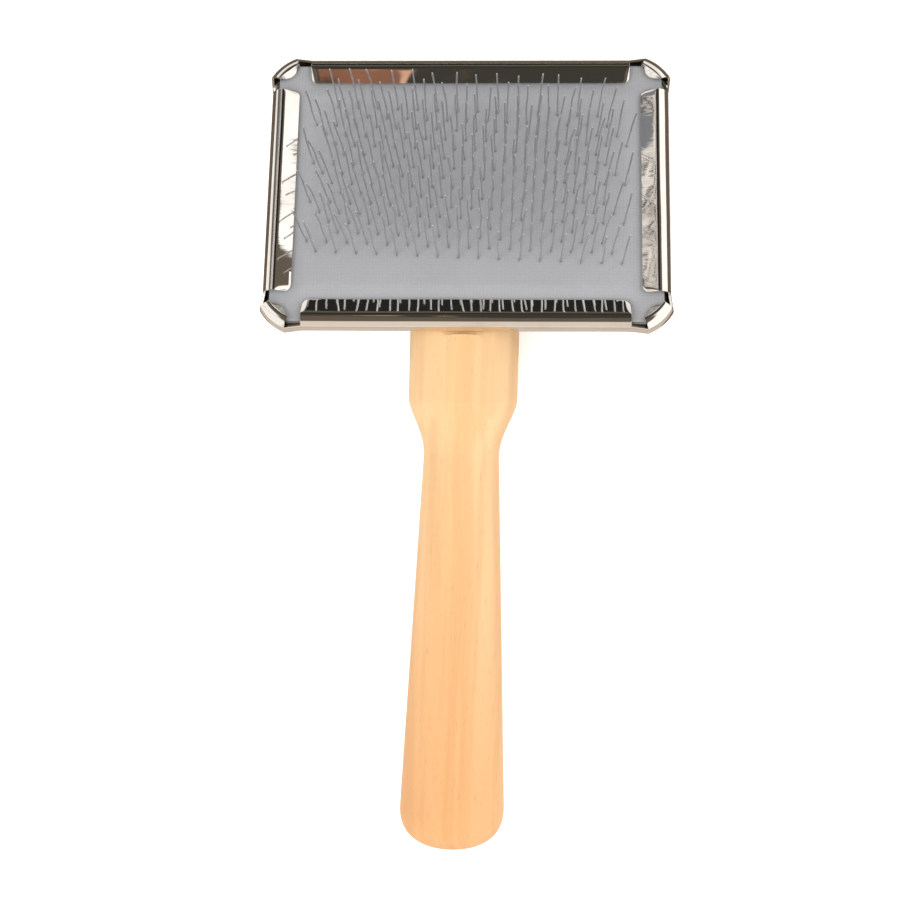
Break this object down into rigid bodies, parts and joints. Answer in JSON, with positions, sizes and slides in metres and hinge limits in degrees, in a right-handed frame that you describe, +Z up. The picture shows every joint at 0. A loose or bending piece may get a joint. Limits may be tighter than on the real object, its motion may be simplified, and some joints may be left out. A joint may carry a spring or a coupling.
{
  "type": "slicker brush",
  "caption": "Slicker brush for pet grooming: a turned wooden handle under a tilted metal tray that holds a rubber-faced card of bent, springy wire pins.",
  "frame": {"origin": "On the surface that the brush lies on, under the middle of its length and width.", "axes": "+Y along the handle towards the head, +X across the head, +Z up. The brush lies on its back with the pins up; the head slopes down by about 21 degrees towards +Y."},
  "size_m": [0.0904, 0.1766, 0.0344],
  "materials": {
    "tray_steel": "bright nickel-plated sheet",
    "pin_wire": "drawn steel wire",
    "screw_steel": "yellow zinc",
    "beech": "satin clear varnish over beech",
    "card_rubber": "matt grey rubber with a fine cloth grain",
    "card_fabric": "plain-woven cotton ply",
    "felt": "pressed felt"
  },
  "bodies": {
    "brush": {"handle": "beech", "head_tray": "tray_steel", "felt_cushion": "felt", "card_fabric": "card_fabric", "card_rubber_face": "card_rubber", "tray_screw_1": "screw_steel", "tray_screw_2": "screw_steel", "tray_screw_3": "screw_steel"},
    "row_01": {"pin_row_01": "pin_wire"},
    "row_02": {"pin_row_02": "pin_wire"},
    "row_03": {"pin_row_03": "pin_wire"},
    "row_04": {"pin_row_04": "pin_wire"},
    "row_05": {"pin_row_05": "pin_wire"},
    "row_06": {"pin_row_06": "pin_wire"},
    "row_07": {"pin_row_07": "pin_wire"},
    "row_08": {"pin_row_08": "pin_wire"},
    "row_09": {"pin_row_09": "pin_wire"},
    "row_10": {"pin_row_10": "pin_wire"},
    "row_11": {"pin_row_11": "pin_wire"},
    "row_12": {"pin_row_12": "pin_wire"},
    "row_13": {"pin_row_13": "pin_wire"},
    "row_14": {"pin_row_14": "pin_wire"},
    "row_15": {"pin_row_15": "pin_wire"},
    "row_16": {"pin_row_16": "pin_wire"}
  },
  "joints": [
    {"name": "row_01_flex", "type": "hinge", "parent": "brush", "child": "row_01", "pos_m": [-0.00034, 0.04167, 0.02017], "axis": [0.9998, -0.0163, 0.0064], "range_deg": [-8, 8], "stiffness_Nm_per_rad": 0.06},
    {"name": "row_02_flex", "type": "hinge", "parent": "brush", "child": "row_02", "pos_m": [-0.0003, 0.04385, 0.01932], "axis": [0.9998, -0.0163, 0.0064], "range_deg": [-8, 8], "stiffness_Nm_per_rad": 0.06},
    {"name": "row_03_flex", "type": "hinge", "parent": "brush", "child": "row_03", "pos_m": [-0.00026, 0.04602, 0.01847], "axis": [0.9998, -0.0163, 0.0064], "range_deg": [-8, 8], "stiffness_Nm_per_rad": 0.06},
    {"name": "row_04_flex", "type": "hinge", "parent": "brush", "child": "row_04", "pos_m": [-0.00021, 0.04819, 0.01762], "axis": [0.9998, -0.0163, 0.0064], "range_deg": [-8, 8], "stiffness_Nm_per_rad": 0.06},
    {"name": "row_05_flex", "type": "hinge", "parent": "brush", "child": "row_05", "pos_m": [-0.00017, 0.05037, 0.01677], "axis": [0.9998, -0.0163, 0.0064], "range_deg": [-8, 8], "stiffness_Nm_per_rad": 0.06},
    {"name": "row_06_flex", "type": "hinge", "parent": "brush", "child": "row_06", "pos_m": [-0.00013, 0.05254, 0.01592], "axis": [0.9998, -0.0163, 0.0064], "range_deg": [-8, 8], "stiffness_Nm_per_rad": 0.06},
    {"name": "row_07_flex", "type": "hinge", "parent": "brush", "child": "row_07", "pos_m": [-0.00009, 0.05471, 0.01507], "axis": [0.9998, -0.0163, 0.0064], "range_deg": [-8, 8], "stiffness_Nm_per_rad": 0.06},
    {"name": "row_08_flex", "type": "hinge", "parent": "brush", "child": "row_08", "pos_m": [-0.00005, 0.05688, 0.01423], "axis": [0.9998, -0.0163, 0.0064], "range_deg": [-8, 8], "stiffness_Nm_per_rad": 0.06},
    {"name": "row_09_flex", "type": "hinge", "parent": "brush", "child": "row_09", "pos_m": [-0.00001, 0.05906, 0.01338], "axis": [0.9998, -0.0163, 0.0064], "range_deg": [-8, 8], "stiffness_Nm_per_rad": 0.06},
    {"name": "row_10_flex", "type": "hinge", "parent": "brush", "child": "row_10", "pos_m": [0.00003, 0.06123, 0.01253], "axis": [0.9998, -0.0163, 0.0064], "range_deg": [-8, 8], "stiffness_Nm_per_rad": 0.06},
    {"name": "row_11_flex", "type": "hinge", "parent": "brush", "child": "row_11", "pos_m": [0.00007, 0.0634, 0.01168], "axis": [0.9998, -0.0163, 0.0064], "range_deg": [-8, 8], "stiffness_Nm_per_rad": 0.06},
    {"name": "row_12_flex", "type": "hinge", "parent": "brush", "child": "row_12", "pos_m": [0.00011, 0.06558, 0.01083], "axis": [0.9998, -0.0163, 0.0064], "range_deg": [-8, 8], "stiffness_Nm_per_rad": 0.06},
    {"name": "row_13_flex", "type": "hinge", "parent": "brush", "child": "row_13", "pos_m": [0.00015, 0.06775, 0.00998], "axis": [0.9998, -0.0163, 0.0064], "range_deg": [-8, 8], "stiffness_Nm_per_rad": 0.06},
    {"name": "row_14_flex", "type": "hinge", "parent": "brush", "child": "row_14", "pos_m": [0.00019, 0.06992, 0.00913], "axis": [0.9998, -0.0163, 0.0064], "range_deg": [-8, 8], "stiffness_Nm_per_rad": 0.06},
    {"name": "row_15_flex", "type": "hinge", "parent": "brush", "child": "row_15", "pos_m": [0.00023, 0.0721, 0.00828], "axis": [0.9998, -0.0163, 0.0064], "range_deg": [-8, 8], "stiffness_Nm_per_rad": 0.06},
    {"name": "row_16_flex", "type": "hinge", "parent": "brush", "child": "row_16", "pos_m": [0.00028, 0.07427, 0.00743], "axis": [0.9998, -0.0163, 0.0064], "range_deg": [-8, 8], "stiffness_Nm_per_rad": 0.06}
  ]
}
